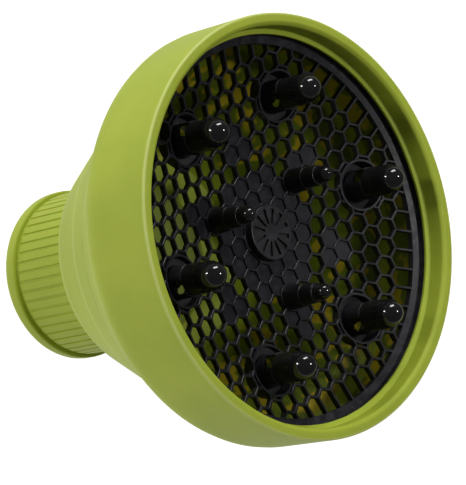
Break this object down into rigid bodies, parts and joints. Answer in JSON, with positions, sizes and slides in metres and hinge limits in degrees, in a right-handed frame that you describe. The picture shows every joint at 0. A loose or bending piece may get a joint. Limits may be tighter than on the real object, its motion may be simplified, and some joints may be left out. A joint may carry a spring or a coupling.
{
  "type": "hair dryer diffuser",
  "caption": "Folding silicone bowl with a ribbed neck that stretches over a dryer nozzle, and a dished honeycomb grille with blunt fingers.",
  "frame": {"origin": "centre of the neck's flat rear face, on the diffuser's axis", "axes": "+Z along the axis from the neck to the fingers; +X towards the first outer finger"},
  "size_m": [0.16, 0.16, 0.1424],
  "materials": {
    "silicone": "matte",
    "grille_plastic": "satin",
    "finger_plastic": "gloss"
  },
  "bodies": {
    "neck": {"neck_sleeve": "silicone", "fold_membrane": "silicone"},
    "bowl": {"rim_bowl": "silicone", "grille_plate": "grille_plastic", "centre_boss": "grille_plastic", "finger_socket_1": "grille_plastic", "finger_socket_2": "grille_plastic", "finger_socket_3": "grille_plastic", "finger_socket_4": "grille_plastic", "finger_socket_5": "grille_plastic", "finger_socket_6": "grille_plastic", "finger_1": "finger_plastic", "finger_2": "finger_plastic", "finger_3": "finger_plastic", "finger_4": "finger_plastic", "finger_5": "finger_plastic", "finger_6": "finger_plastic", "inner_socket_1": "grille_plastic", "inner_socket_2": "grille_plastic", "inner_socket_3": "grille_plastic", "inner_finger_1": "finger_plastic", "inner_finger_2": "finger_plastic", "inner_finger_3": "finger_plastic"}
  },
  "joints": [
    {"name": "fold", "type": "slide", "parent": "neck", "child": "bowl", "axis": [0, 0, -1], "range_m": [0, 0.0442], "deforming": ["fold_membrane"]}
  ]
}
